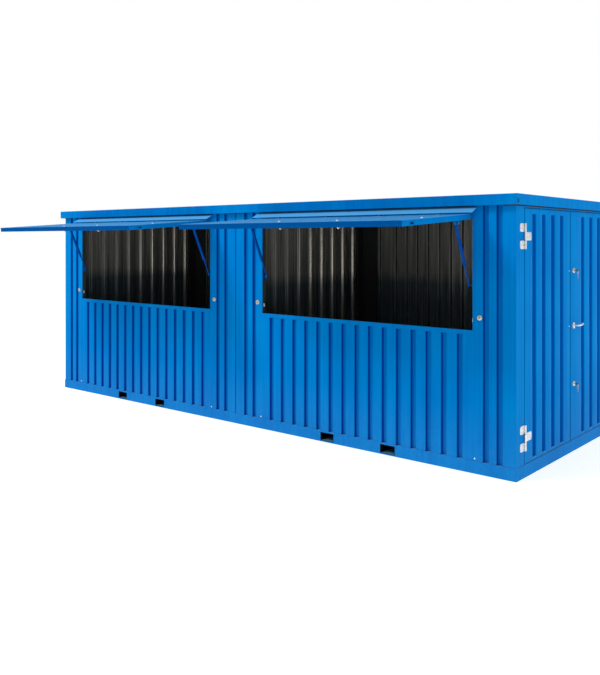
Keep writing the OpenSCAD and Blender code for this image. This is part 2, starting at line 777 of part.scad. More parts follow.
// post plates of each hinge, joined by the pin
module door_post_hinges() {
    color(zinc) on_door_hinges([-1, 1]) {
        for (z = [0, door_hinge_h - plate_h()]) translate([0, 0, z]) {
            cylinder(h = plate_h(), r = door_knuckle_r);
            block(-door_knuckle_r, -door_knuckle_r + plate_t, 0, post_plate_w, 0, plate_h());
        }
        cylinder(h = door_hinge_h, r = door_pin_r);
    }
}

module leaf_hinges(s) {
    z0 = plate_h() + knuckle_gap;
    color(zinc) on_door_hinges([s]) difference() {
        union() {
            translate([0, 0, z0]) cylinder(h = plate_h(), r = door_knuckle_r);
            block(-door_knuckle_r, -door_knuckle_r + plate_t, -leaf_plate_w, 0, z0, z0 + plate_h());
        }
        cylinder(h = door_hinge_h, r = door_pin_r + pin_play);
    }
}

// a key in the lock, with a ring and a second key hanging from it
module keys() {
    translate([0, -1.25, -3.5]) cube([16, 2.5, 7]);
    translate([24, 1.25, 0]) rotate([90, 0, 0]) cylinder(h = 2.5, r = 11);
    translate([26, 0, -18]) rotate([0, 90, 30]) rotate_extrude() translate([10, 0]) circle(r = 1.2, $fn = 16);
    translate([26, 1.25, -37]) rotate([90, 0, 0]) cylinder(h = 2.5, r = 11);
    translate([22.5, -1.25, -72]) cube([7, 2.5, 28]);
}

// roses of the two locks with their keys, and of the lever
module door_locks() {
    y = door_gap / 2 + furniture_in;
    color(zinc) for (z = [lock_low_z, lock_high_z]) translate([door_face_x, y, z]) {
        rotate([0, 90, 0]) cylinder(h = rose_t, r = rose_r);
        translate([rose_t - 1, 0, 0]) rotate([0, 90, 0]) cylinder(h = 5, r = 9);
        translate([rose_t + 2, 0, 0]) keys();
    }
    color(zinc) translate([door_face_x, y, lever_z]) rotate([0, 90, 0]) difference() {
        cylinder(h = rose_t, r = rose_r + 3);
        translate([0, 0, 3]) cylinder(h = rose_t, r = lever_r + pin_play);
    }
}

// lever with its end bent back to the leaf
module door_lever() {
    y = door_gap / 2 + furniture_in;
    color(zinc) translate([door_face_x, y, lever_z]) {
        translate([4, 0, 0]) rotate([0, 90, 0]) cylinder(h = lever_out - 4, r = lever_r);
        translate([lever_out, 0, 0]) sphere(r = lever_r);
        translate([lever_out, 0, 0]) rotate([-90, 0, 0]) cylinder(h = lever_l, r = lever_r);
        translate([lever_out, lever_l, 0]) sphere(r = lever_r);
        translate([18, lever_l, 0]) rotate([0, 90, 0]) cylinder(h = lever_out - 18, r = lever_r);
    }
}

base_frame(-1);  // left_base_frame
base_frame(1);  // right_base_frame
fork_tubes(-1);  // left_fork_tubes
fork_tubes(1);  // right_fork_tubes
floor_deck(-1);  // left_floor
floor_deck(1);  // right_floor
corner_posts(-1);  // left_corner_posts
corner_posts(1);  // right_corner_posts
side_panels(-1);  // left_side_panels
side_panels(1);  // right_side_panels
lower_wall(-1);  // left_lower_wall
lower_wall(1);  // right_lower_wall
header(-1);  // left_header
header(1);  // right_header
lining(-1);  // left_lining
lining(1);  // right_lining
back_wall(-1);  // left_back_wall
back_wall(1);  // right_back_wall
roof(-1);  // left_roof
roof(1);  // right_roof
flashing(-1);  // left_flashing
flashing(1);  // right_flashing
end_wall(-1, 1);  // left_end_wall
end_wall(-1, -1);  // left_party_wall
end_wall(1, 1);  // right_party_wall
door_lintel();  // door_header
hatch_frame(-1);  // left_hatch_frame
hatch_skin(-1);  // left_hatch_skin
hatch_frame(1);  // right_hatch_frame
hatch_skin(1);  // right_hatch_skin
hatch_hinges();
strut_rods(-1);  // left_strut_rods
strut_rods(1);  // right_strut_rods
strut_tubes(-1);  // left_strut_tubes
strut_tubes(1);  // right_strut_tubes
strut_plates();
hatch_locks();
front_door_leaf();
rear_door_leaf();
door_post_hinges();
leaf_hinges(-1);  // front_leaf_hinges
leaf_hinges(1);  // rear_leaf_hinges
door_locks();
door_lever();
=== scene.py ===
"""Looks of the container bar: painted pressed sheets, zinc furniture and a plain studio on the frame."""

import json
import math

import bmesh
import bpy
import numpy as np
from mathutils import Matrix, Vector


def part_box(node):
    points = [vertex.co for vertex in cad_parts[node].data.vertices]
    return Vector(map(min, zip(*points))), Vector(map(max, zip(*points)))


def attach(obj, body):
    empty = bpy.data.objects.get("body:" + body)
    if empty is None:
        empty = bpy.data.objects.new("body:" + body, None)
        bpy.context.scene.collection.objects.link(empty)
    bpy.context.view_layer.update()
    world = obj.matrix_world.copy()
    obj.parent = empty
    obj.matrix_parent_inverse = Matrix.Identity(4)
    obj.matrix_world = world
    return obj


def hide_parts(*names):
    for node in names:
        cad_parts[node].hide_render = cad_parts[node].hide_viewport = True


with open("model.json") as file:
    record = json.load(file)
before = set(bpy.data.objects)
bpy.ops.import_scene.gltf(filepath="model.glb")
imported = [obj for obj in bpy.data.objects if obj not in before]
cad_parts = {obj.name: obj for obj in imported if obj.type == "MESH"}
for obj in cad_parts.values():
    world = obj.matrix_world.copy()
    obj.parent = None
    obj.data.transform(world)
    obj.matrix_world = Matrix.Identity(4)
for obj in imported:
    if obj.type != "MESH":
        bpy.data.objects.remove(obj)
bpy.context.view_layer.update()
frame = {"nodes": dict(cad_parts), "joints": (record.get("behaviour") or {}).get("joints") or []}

# Sheets, in metres like every size here
SHEET = 0.002
BEND = 0.006
END_BEND = 0.014
BEND_STEPS = 4
SHARP_ANGLE = math.radians(38)
SHEET_ROWS, RAMP_ROWS, FLUTE_ROWS = 17, 6, 15

# Hollows of the sheets: their height, and radians a metre across and up
BUCKLE = 0.0005
BUCKLE_WAVES = ((4.5, 3.6), (7.1, 5.2), (12.0, 8.3))

# Grooves: mouth, floor and depth, then where they lie
FRONT_GROOVE = (0.052, 0.040, 0.028)
HATCH_GROOVE = (0.052, 0.040, 0.024)
END_GROOVE = (0.076, 0.062, 0.030)
MID_PITCH, END_PITCH = 0.145, 0.2
FRONT_LEAF_PITCH, REAR_LEAF_PITCH, REAR_LEAF_SHIFT = 0.189, 0.2035, 0.032
MID_GROOVES = (np.arange(15) - 7) * MID_PITCH
SIDE_GROOVES = np.array([0.0371, 0.1529])
END_GROOVES = (np.arange(10) - 4.5) * END_PITCH
FRONT_LEAF_GROOVES = (np.arange(4) - 1.5) * FRONT_LEAF_PITCH
REAR_LEAF_GROOVES = (np.arange(3) - 1) * REAR_LEAF_PITCH + REAR_LEAF_SHIFT
LEAF_GROOVE_ENDS = (0.016, 0.036)
HATCH_GROOVE_ENDS = (0.060, 0.060)
GROOVE_RAMP = 0.014

# Units, rooms and faces
LEAF_DEPTH, LEAF_LIP = 0.040, 0.024
OPENING_HALF = 1.135
ROOM_DEPTH, ROOM_HALF, ROOM_TOP = 1.0925, 1.4925, 2.169
# how far the rooms are widened for the roof, so that the faces in its drain slots take the dark inside
# colour: a painted shade
ROOF_SHADE_GROW = 0.006
UNIT_MIDDLE = 1.5
# height from which posts and headers take the inside colour, a painted shadow under the eaves; and one above
# every part, for none
EAVES_SHADOW_FROM, NO_EAVES_SHADOW = 2.108, 9.0
FRONT_FACE, DOOR_FACE, SEAM_FACE = -1.095, 2.995, 0.005

# Hatches and struts; heights are up the hatch from its hinge
HATCH_RIM = 0.018
HATCH_TOP, HATCH_BOTTOM = -0.013, -1.012
STRUT_X, STRUT_ALONG, STRUT_DEEP = 1.090, 0.155, 0.064
TUBE_R, TUBE_LENGTH, TUBE_EASE = 0.013, 0.372, 0.003
NECK_START, NECK_MIDDLE, NECK_END, NECK_TOP = 0.034, 0.026, 0.022, 0.004
NECK_STEP = 0.002
ROD_R, ROD_LENGTH, ROD_START, ROD_GAP = 0.006, 0.190, 0.008, 0.0005
EYE_R, EYE_HALF, BOSS_R, EYE_EASE = 0.012, 0.007, 0.007, 0.001
HOOK_X = (-0.0725, 0.5075)
HOOK_HEIGHT = -0.90
HOOK_BAR = np.array([(0, 0.002, 0), (0, 0.050, 0), (0, 0.062, 0.015), (0, 0.050, 0.030)])
HOOK_R, HOOK_BEND = 0.004, 0.008
HEAD_R = 0.010
SIDE_HEAD_X, SIDE_HEAD_HEIGHT = 1.12, -0.70

# Locks beside the openings: profiles are pairs of radius and height
LOCK_X, LOCK_Z, LOCK_R = 1.194, 1.234, 0.022
LOCK_ROSE = [(LOCK_R, 0), (LOCK_R, 0.004), (LOCK_R - 0.002, 0.0075), (LOCK_R - 0.006, 0.009),
             (0.011, 0.009), (0.0105, 0.0075), (0.002, 0.0075)]
LOCK_CORE = [(0.009, 0.006), (0.009, 0.0112), (0.008, 0.012), (0.0015, 0.012)]
CATCH_DROP, CATCH_BACK, CATCH_SUNK = 0.024, 0.020, 0.003
CATCH_WIDTH, CATCH_HEIGHT, CATCH_THICK = 0.014, 0.032, 0.012
CATCH_ROUND, CATCH_EASE = 0.003, 0.002
FOOT_SCREW_X, FOOT_SCREW_Z, FOOT_SCREW_R = 1.150, 0.118, 0.008

# Door hinges
PLATE, PLATE_HEIGHT, PLATE_ROUND, PLATE_EASE = 0.004, 0.066, 0.016, 0.0012
HINGE_MIDDLES = (0.308, 1.875)
HINGE_PITCH = 0.067
POST_REACH, LEAF_REACH = 0.080, 0.126
KNUCKLE_R, KNUCKLE_EASE = 0.009, 0.0015
HINGE_SCREW_R = 0.007
HINGE_SCREWS = ((0.45, 0.014), (0.80, -0.014))

# Door locks, keys and lever
FURNITURE_Y = 0.075
LEVER_Z, LOW_LOCK_Z, HIGH_LOCK_Z = 1.098, 0.588, 1.578
DOOR_ROSE = [(0.022, 0), (0.022, 0.005), (0.019, 0.009), (0.010, 0.010), (0.0095, 0.0085), (0.002, 0.0085)]
DOOR_CORE = [(0.0088, 0.006), (0.0088, 0.0125), (0.008, 0.0135), (0.002, 0.0135)]
KEY_BOW, KEY_THICK, KEY_EASE = (0.022, 0.024), 0.0025, 0.0006
KEY_OUT = 0.035
SHANK_START, SHANK_END, SHANK_R = 0.010, 0.026, 0.0028
RING_R, RING_WIRE, RING_OUT, RING_DROP = 0.010, 0.0012, 0.040, 0.016
SPARE_OUT, SPARE_DROP = 0.0385, 0.036
BLADE_WIDTH, BLADE_LOW, BLADE_HIGH = 0.007, -0.072, -0.044
BLADE_ROUND, BLADE_EASE = 0.002, 0.0005
LEVER_ROSE, LEVER_ROSE_THICK, LEVER_ROSE_EASE = (0.046, 0.056), 0.009, 0.003
LEVER_PATH = np.array([(0.006, 0.0, 0.0), (0.046, 0.0, 0.0), (0.054, 0.055, 0.004),
                       (0.048, 0.112, 0.010), (0.026, 0.118, 0.012)])
LEVER_BEND = 0.024
LEVER_RADII = (0.0078, 0.0082, 0.0060)
RIVET_INSET, RIVET_R = 0.022, 0.005

# Sizes of the patterns in the finishes: width, and length where they are drawn out
CLOUD = 0.625
RAIN_STREAK = (0.04545, 1.4286)
# the upright streaks inside the walls are painted reflections
REFLECTION_STREAK = (0.03846, 1.1111)
DUST_SPECK = 0.0357
# orange peel has grains of about 1 mm; they are drawn at 5 mm so that they show
PEEL_GRAIN, PEEL_DEPTH = 0.005, 0.001
HANDLED_SPOT = 0.00625
PLY_GRAIN = (0.016667, 0.5)
SCUFF = 0.0714

# Where the finishes change: heights, depths into the room, and shares of a groove's depth
DUST_TOP, DUST_FULL = 0.55, 0.05
# heights over which the inside paint darkens downwards: a painted shade
LOW_SHADE_TOP, LOW_SHADE_FULL = 1.48, 1.34
# depths into the room over which the painted highlights on the rib flanks grow to full
HIGHLIGHT_START, HIGHLIGHT_FULL = -0.30, 0.10
FLANK_RISE, FLANK_FALL = (0.12, 0.35), (0.97, 0.80)
FOLD_START = 0.15 * BEND


def linear(code):
    """An sRGB hex colour as linear red, green, blue and alpha."""
    part = np.array([int(code[i:i + 2], 16) for i in (1, 3, 5)]) / 255
    low, high = part / 12.92, ((part + 0.055) / 1.055) ** 2.4
    return (*np.where(part <= 0.04045, low, high).tolist(), 1.0)


def add(tree, kind, inputs=None, **settings):
    """A shader node with its settings; each input takes a value, or a link from another node's socket."""
    made = tree.nodes.new("ShaderNode" + kind)
    for name, value in settings.items():
        setattr(made, name, value)
    for socket, value in (inputs or {}).items():
        if isinstance(value, bpy.types.NodeSocket):
            tree.links.new(value, made.inputs[socket])
        else:
            made.inputs[socket].default_value = value
    return made


def new_material(name):
    """An empty material with its node tree, its shader and its Object coordinates."""
    made = bpy.data.materials.new(name)
    made.use_nodes = True
    tree = made.node_tree
    shader = tree.nodes["Principled BSDF"]
    place = add(tree, "TexCoord").outputs["Object"]
    return made, tree, shader, place


def in_room(tree, parts, grow):
    """A socket that is 1 inside the rooms and 0 outside: |y| and the distance from a unit's middle are both
    small, and the point is under the roof deck. parts are the point's X, Y and Z; grow widens the rooms."""
    across = add(tree, "Math", {0: parts.outputs[1]}, operation="ABSOLUTE")
    off_seam = add(tree, "Math", {0: parts.outputs[0]}, operation="ABSOLUTE")
    off_middle = add(tree, "Math", {0: off_seam.outputs[0], 1: UNIT_MIDDLE}, operation="SUBTRACT")
    off_middle = add(tree, "Math", {0: off_middle.outputs[0]}, operation="ABSOLUTE")
    inside = 1.0
    for measure, limit in ((across, ROOM_DEPTH), (off_middle, ROOM_HALF)):
        near = add(tree, "Math", {0: measure.outputs[0], 1: limit + grow}, operation="LESS_THAN")
        inside = add(tree, "Math", {0: near.outputs[0], 1: inside}, operation="MULTIPLY").outputs[0]
    under = add(tree, "Math", {0: parts.outputs[2], 1: ROOM_TOP}, operation="LESS_THAN")
    return add(tree, "Math", {0: under.outputs[0], 1: inside}, operation="MULTIPLY").outputs[0]


def on_flanks(tree, parts, axis, face, depth, floor):
    """A socket that is 1 on the flanks of grooves and 0 on the flats: it rises over the first part of the
    distance from the sheet's face, and falls before the groove's floor to the value floor. parts are the
    point's X, Y and Z."""
    off = add(tree, "Math", {0: parts.outputs[axis], 1: face}, operation="SUBTRACT")
    off = add(tree, "Math", {0: off.outputs[0]}, operation="ABSOLUTE")
    rising = add(tree, "MapRange", {"Value": off.outputs[0], "From Min": FLANK_RISE[0] * depth,
                                    "From Max": FLANK_RISE[1] * depth})
    falling = add(tree, "MapRange", {"Value": off.outputs[0], "From Min": FLANK_FALL[0] * depth,
                                     "From Max": FLANK_FALL[1] * depth, "To Min": floor})
    return add(tree, "Math", {0: rising.outputs[0], 1: falling.outputs[0]}, operation="MULTIPLY")


def powder_coat(name, colour, shade, dusty, inside=None, grow=0.0, eaves=NO_EAVES_SHADOW, flanks=None,
                sky_sheen=0.45, edge=None):
    """Powder-coated steel: an even satin colour with slight cloudiness, rain streaks, dust low down and a
    fine orange peel. Where inside is given, faces towards the room have that colour, and so do faces above
    the height eaves, a painted shadow under the eaves. flanks is the axis, face, depth and floor value of
    grooves whose flanks are painted darker, a painted shade in the grooves, and that colour. The sky share
    is how much pale blue is painted on what faces the sky, a painted reflection of the sky. Faces towards
    the front have the colour edge, if given, a painted shade."""
    made, tree, shader, place = new_material(name)
    cloud = add(tree, "TexNoise", {"Vector": place, "Scale": 1 / CLOUD, "Detail": 3.0})
    width, length = RAIN_STREAK
    drawn_out = add(tree, "Mapping", {"Vector": place, "Scale": (1 / width, 1 / width, 1 / length)})
    streak = add(tree, "TexNoise", {"Vector": drawn_out.outputs[0], "Scale": 1.0, "Detail": 4.0})
    both = add(tree, "Math", {0: cloud.outputs[0], 1: streak.outputs[0]}, operation="MULTIPLY")
    tone = add(tree, "MapRange", {"Value": both.outputs[0], "From Min": 0.12, "From Max": 0.40})
    paint = add(tree, "Mix", {0: tone.outputs[0], 6: linear(shade), 7: linear(colour)}, data_type="RGBA")
    parts = add(tree, "SeparateXYZ", {0: place})
    low = add(tree, "MapRange", {"Value": parts.outputs[2], "From Min": DUST_TOP, "From Max": DUST_FULL,
                                 "To Max": dusty})
    speck = add(tree, "TexNoise", {"Vector": place, "Scale": 1 / DUST_SPECK, "Detail": 6.0})
    dust = add(tree, "Math", {0: low.outputs[0], 1: speck.outputs[0]}, operation="MULTIPLY")
    dusted = add(tree, "Mix", {0: dust.outputs[0], 6: paint.outputs[2], 7: linear("#9fb4c4")},
                 data_type="RGBA")
    # painted reflection of the sky: pale blue on what faces up
    facing = add(tree, "SeparateXYZ", {0: add(tree, "TexCoord").outputs["Normal"]})
    painted_sky_sheen = add(tree, "MapRange", {"Value": facing.outputs[2], "From Min": 0.35, "From Max": 0.95,
                                     "To Max": sky_sheen})
    finished = add(tree, "Mix", {0: painted_sky_sheen.outputs[0], 6: dusted.outputs[2], 7: linear("#7cc4f2")},
                   data_type="RGBA").outputs[2]
    if edge:
        # painted shade: faces towards the front take a darker colour
        forward = add(tree, "MapRange", {"Value": facing.outputs[1], "From Min": -0.70, "From Max": -0.95})
        finished = add(tree, "Mix", {0: forward.outputs[0], 6: finished, 7: linear(edge)},
                       data_type="RGBA").outputs[2]
    if flanks:
        # painted shade: the flanks of the grooves are painted darker
        painted_groove_shade = on_flanks(tree, parts, *flanks[:4])
        finished = add(tree, "Mix", {0: painted_groove_shade.outputs[0], 6: finished, 7: linear(flanks[4])},
                       data_type="RGBA").outputs[2]
    if inside:
        # painted shadow: faces above the given height take the inside colour as well
        painted_eaves_shadow = add(tree, "Math", {0: parts.outputs[2], 1: eaves}, operation="GREATER_THAN")
        room = add(tree, "Math", {0: in_room(tree, parts, grow), 1: painted_eaves_shadow.outputs[0]},
                   operation="MAXIMUM")
        finished = add(tree, "Mix", {0: room.outputs[0], 6: finished, 7: linear(inside)},
                       data_type="RGBA").outputs[2]
    tree.links.new(finished, shader.inputs["Base Color"])
    rough = add(tree, "MapRange", {"Value": streak.outputs[0], "To Min": 0.36, "To Max": 0.50})
    tree.links.new(rough.outputs[0], shader.inputs["Roughness"])
    # a stronger gloss would turn the coat milky at a grazing view
    shader.inputs["Specular IOR Level"].default_value = 0.006
    shader.inputs["Specular Tint"].default_value = linear("#5fb4ff")
    peel = add(tree, "TexNoise", {"Vector": place, "Scale": 1 / PEEL_GRAIN, "Detail": 2.0})
    bump = add(tree, "Bump", {"Height": peel.outputs[0], "Strength": 0.04, "Distance": PEEL_DEPTH})
    tree.links.new(bump.outputs[0], shader.inputs["Normal"])
    return made


def coil_coat(name, flanks=None, tones=("#6a6d68", "#a09f95"), low_shade=0.8, metal_highlight=False):
    """Coil-coated steel inside the walls: a fine coat of charcoal paint, half gloss, lighter and darker in
    upright streaks that are painted reflections. flanks is the axis, face, depth and floor value of ribs
    whose flanks have another colour, and that colour: a painted highlight on the party and end walls and a
    painted shade on the back wall. tones are the paint at its darkest and lightest, and the low-shade share
    is how far it is darkened and made bluer lower down, a painted shade. With the metal highlight, the
    flanks in the back half of the room are pale and metallic, a painted highlight."""
    made, tree, shader, place = new_material(name)
    width, length = REFLECTION_STREAK
    drawn_out = add(tree, "Mapping", {"Vector": place, "Scale": (1 / width, 1 / width, 1 / length)})
    streak = add(tree, "TexNoise", {"Vector": drawn_out.outputs[0], "Scale": 1.0, "Detail": 5.0})
    tone = add(tree, "MapRange", {"Value": streak.outputs[0], "From Min": 0.30, "From Max": 0.70})
    paint = add(tree, "Mix", {0: tone.outputs[0], 6: linear(tones[0]), 7: linear(tones[1])},
                data_type="RGBA")
    # painted reflection and shade: lighter above, darker and bluer lower down
    parts = add(tree, "SeparateXYZ", {0: place})
    painted_low_shade = add(tree, "MapRange", {"Value": parts.outputs[2], "From Min": LOW_SHADE_TOP, "From Max": LOW_SHADE_FULL,
                                    "To Max": low_shade})
    finished = add(tree, "Mix", {0: painted_low_shade.outputs[0], 6: paint.outputs[2], 7: linear("#38505a")},
                   data_type="RGBA").outputs[2]
    if flanks:
        # painted light on the rib flanks, stronger higher up: a painted highlight when pale, a painted shade
        # when dark
        painted_flank_light = on_flanks(tree, parts, *flanks[:4])
        upper = add(tree, "MapRange", {"Value": painted_low_shade.outputs[0], "To Min": 1.0, "To Max": 0.35})
        painted_flank_light = add(tree, "Math", {0: painted_flank_light.outputs[0], 1: upper.outputs[0]}, operation="MULTIPLY")
        if metal_highlight:
            # the painted highlights grow towards the back of the room and are made metallic
            behind = add(tree, "MapRange", {"Value": parts.outputs[1], "From Min": HIGHLIGHT_START,
                                            "From Max": HIGHLIGHT_FULL, "To Min": 0.15})
            painted_flank_light = add(tree, "Math", {0: painted_flank_light.outputs[0], 1: behind.outputs[0]}, operation="MULTIPLY")
            tree.links.new(painted_flank_light.outputs[0], shader.inputs["Metallic"])
        finished = add(tree, "Mix", {0: painted_flank_light.outputs[0], 6: finished, 7: linear(flanks[4])},
                       data_type="RGBA").outputs[2]
    tree.links.new(finished, shader.inputs["Base Color"])
    rough = add(tree, "MapRange", {"Value": streak.outputs[0], "To Min": 0.20, "To Max": 0.34})
    tree.links.new(rough.outputs[0], shader.inputs["Roughness"])
    shader.inputs["Specular IOR Level"].default_value = 0.8
    return made


def galvanised(name, light, dark, spangle, rough):
    """Hot-dip galvanised steel: pale grey zinc whose crystals, the spangle, differ slightly in tone and
    gloss."""
    made, tree, shader, place = new_material(name)
    crystal = add(tree, "TexVoronoi", {"Vector": place, "Scale": 1 / spangle})
    grey = add(tree, "SeparateColor", {0: crystal.outputs["Color"]})
    zinc = add(tree, "Mix", {0: grey.outputs[0], 6: linear(dark), 7: linear(light)}, data_type="RGBA")
    tree.links.new(zinc.outputs[2], shader.inputs["Base Color"])
    gloss = add(tree, "MapRange", {"Value": grey.outputs[1], "To Min": rough - 0.06, "To Max": rough + 0.06})
    tree.links.new(gloss.outputs[0], shader.inputs["Roughness"])
    shader.inputs["Metallic"].default_value = 1.0
    return made


def brass():
    """Brass of lock cores and keys, cast and filed: warm yellow, duller where it is handled."""
    made, tree, shader, place = new_material("filed_brass")
    handled = add(tree, "TexNoise", {"Vector": place, "Scale": 1 / HANDLED_SPOT, "Detail": 3.0})
    tone = add(tree, "Mix", {0: handled.outputs[0], 6: linear("#8a6a34"), 7: linear("#c9a562")},
               data_type="RGBA")
    tree.links.new(tone.outputs[2], shader.inputs["Base Color"])
    gloss = add(tree, "MapRange", {"Value": handled.outputs[0], "To Min": 0.25, "To Max": 0.5})
    tree.links.new(gloss.outputs[0], shader.inputs["Roughness"])
    shader.inputs["Metallic"].default_value = 1.0
    return made


def plywood():
    """Film-faced birch plywood of the floor: brown film with the face grain faintly showing, and scuffs."""
    made, tree, shader, place = new_material("film_faced_plywood")
    width, length = PLY_GRAIN
    drawn_out = add(tree, "Mapping", {"Vector": place, "Scale": (1 / length, 1 / width, 1 / length)})
    grain = add(tree, "TexNoise", {"Vector": drawn_out.outputs[0], "Scale": 1.0, "Detail": 8.0})
    tone = add(tree, "Mix", {0: grain.outputs[0], 6: linear("#4a3524"), 7: linear("#86684a")},
               data_type="RGBA")
    tree.links.new(tone.outputs[2], shader.inputs["Base Color"])
    scuff = add(tree, "TexNoise", {"Vector": place, "Scale": 1 / SCUFF, "Detail": 6.0})
    gloss = add(tree, "MapRange", {"Value": scuff.outputs[0], "To Min": 0.35, "To Max": 0.65})
    tree.links.new(gloss.outputs[0], shader.inputs["Roughness"])
    return made


# Finishes
COAT = ("#0080ca", "#0071be", 0.06)
RIB_FLANK_DEPTH = END_GROOVE[2] + 2 * SHEET
BLUE = powder_coat("blue_powder_coat", *COAT)
# the front sheets and the door leaves have a painted shade on their groove flanks
FRONT_BLUE = powder_coat("blue_powder_coat_front", *COAT,
                         flanks=(1, FRONT_FACE, FRONT_GROOVE[2], 0.2, "#0040a4"))
LEAF_BLUE = powder_coat("blue_powder_coat_doors", *COAT,
                        flanks=(0, DOOR_FACE, END_GROOVE[2], 0.5, "#0060b4"))
# painted shade: the dark gap lines at the folds of the door leaves
FOLD_SHADE = powder_coat("blue_powder_coat_painted_shade_on_folds", "#002a66", "#001a44", 0.0)
# painted shade: near black inside the fork pockets
FORK_SHADE = powder_coat("painted_shade_in_fork_tubes", "#0d1013", "#08090b", 0.0)
# anthracite inside the posts and headers; on the lining's jambs the dark is a painted shade, and above the
# eaves height a painted shadow
TWO_TONE_AND_SHADE = powder_coat("blue_powder_coat_dark_inside_and_painted_shade", *COAT, inside="#3c3f3d", eaves=EAVES_SHADOW_FROM)
# painted shade: near black under the roof deck and inside the drain slots
ROOF_TONE_AND_SHADE = powder_coat("blue_powder_coat_painted_shade_under_roof", *COAT, inside="#17191a", grow=ROOF_SHADE_GROW)
# the hatches: a painted shade on faces towards the front, and a weaker painted sky reflection on top
HATCH_BLUE = powder_coat("blue_powder_coat_hatches", *COAT, sky_sheen=0.32, edge="#004c90")
# painted light: the flashings are a paler blue than the coat, with more painted sky reflection on top, as if
# lit by the sky
SKY_LIT_FLASHING = powder_coat("blue_powder_coat_flashings_painted_sky_light", "#0098e4", "#008cda", 0.0, sky_sheen=0.50)
DARK = coil_coat("anthracite_coil_coat")
LEAF_DARK = coil_coat("anthracite_coil_coat_doors", tones=("#373a39", "#4b4e4b"), low_shade=0.0)
# painted shade: dark lines on the flanks of the back wall's ribs
BACK_DARK = coil_coat("anthracite_coil_coat_back", (1, -FRONT_FACE, FRONT_GROOVE[2], 0.0, "#0b0e0e"))
# painted highlights: pale, metallic flanks of the ribs on the party wall and the end wall
SEAM_DARK = coil_coat("anthracite_coil_coat_seam", (0, SEAM_FACE, RIB_FLANK_DEPTH, 0.0, "#d8d2c6"), metal_highlight=True)
END_DARK = coil_coat("anthracite_coil_coat_end", (0, -DOOR_FACE, RIB_FLANK_DEPTH, 0.0, "#d8d2c6"), metal_highlight=True)
ZINC = galvanised("hot_dip_zinc", "#eef0f0", "#cfd3d5", 0.012, 0.42)
STEEL = galvanised("bright_screw_steel", "#f2f3f4", "#d4d8da", 0.004, 0.25)
CREAM = galvanised("cream_lock_rose", "#dcd6c6", "#bdb6a4", 0.010, 0.50)
BRASS = brass()
PLYWOOD = plywood()
STRUT_BLUE = powder_coat("blue_strut_enamel", "#0a4fa6", "#08408c", 0.0)


# Surfaces
def unit(vector):
    """The vector at length 1."""
    vector = np.asarray(vector, float)
    return vector / np.linalg.norm(vector)


def placed(local, place):
    """Local points (along, depth, height) in the building's frame: the place's origin plus each part along
    its direction."""
    directions = np.array([place["along"], place["inward"], place["up"]], float)
    return np.asarray(place["origin"], float) + local @ directions


def rounded(corners, radius):
    """The open line through corners, each inner corner replaced by the parabola
    (1-t)^2 start + 2t(1-t) corner + t^2 end, whose start and end lie up to radius from it on its legs."""
    at = corners[1:-1]
    legs = np.stack([corners[:-2] - at, corners[2:] - at])
    sizes = np.linalg.norm(legs, axis=2, keepdims=True)
    start, end = at + legs / sizes * np.minimum(radius, 0.45 * sizes)
    t = np.linspace(0, 1, BEND_STEPS)[:, None, None]
    arcs = (1 - t) ** 2 * start + 2 * t * (1 - t) * at + t * t * end
    bends = arcs.transpose(1, 0, 2).reshape(-1, corners.shape[1])
    return np.concatenate([corners[:1], bends, corners[-1:]])


def rounded_loop(corners, radius):
    """A closed outline with every corner rounded as in rounded()."""
    return rounded(np.concatenate([corners[-1:], corners, corners[:1]]), radius)[1:-1]


def rectangle(left, low, right, high):
    """The four corners of a rectangle, in turn."""
    return np.array([(left, low), (right, low), (right, high), (left, high)])


def ellipse(size, count=28):
    """The points (width/2 cos t, height/2 sin t) of an ellipse of that width and height."""
    turn = np.linspace(0, 2 * math.pi, count, endpoint=False)
    return np.stack([size[0] / 2 * np.cos(turn), size[1] / 2 * np.sin(turn)], axis=1)


def skin(rings, finish=0):
    """A closed surface through a stack of rings of points, (rows, count, 3): quads join each ring to the
    next, and a flat face caps each end. finish is one material number, or one for each place round a ring."""
    rows, count = rings.shape[:2]
    lower = np.arange(rows - 1)[:, None] * count
    here = np.arange(count)
    after = (here + 1) % count
    quads = np.stack([lower + here, lower + after, lower + count + after, lower + count + here], axis=-1)
    corners = np.concatenate([quads.ravel(), here[::-1], here + (rows - 1) * count])
    sizes = np.append(np.full((rows - 1) * count, 4), [count, count])
    marks = np.append(np.broadcast_to(finish, (rows - 1, count)).ravel(), [np.min(finish)] * 2)
    return rings.reshape(-1, 3), corners, sizes, marks


def piece(name, parts, finishes, body, slot, *nodes):
    """One object of closed parts that rides on a body and stands for the nodes named; slot, its finish slot,
    is not used.
    """
    starts = np.cumsum([0] + [len(part[0]) for part in parts])
    points = np.concatenate([part[0] for part in parts])
    corners = np.concatenate([part[1] + start for part, start in zip(parts, starts)])
    sizes = np.concatenate([part[2] for part in parts])
    marks = np.concatenate([part[3] for part in parts])
    mesh = bpy.data.meshes.new(name)
    mesh.vertices.add(len(points))
    mesh.vertices.foreach_set("co", points.astype(np.float32).ravel())
    mesh.loops.add(len(corners))
    mesh.loops.foreach_set("vertex_index", corners.astype(np.int32))
    mesh.polygons.add(len(sizes))
    mesh.polygons.foreach_set("loop_start", (np.cumsum(sizes) - sizes).astype(np.int32))
    mesh.polygons.foreach_set("material_index", marks.astype(np.int32))
    mesh.polygons.foreach_set("use_smooth", np.ones(len(sizes), bool))
    mesh.update(calc_edges=True)
    shell = bmesh.new()
    shell.from_mesh(mesh)
    bmesh.ops.recalc_face_normals(shell, faces=shell.faces)
    shell.to_mesh(mesh)
    shell.free()
    mesh.set_sharp_from_angle(angle=SHARP_ANGLE)
    for finish in finishes:
        mesh.materials.append(finish)
    made = bpy.data.objects.new(name, mesh)
    bpy.context.scene.collection.objects.link(made)
    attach(made, body)
    if nodes:
        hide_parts(*nodes)


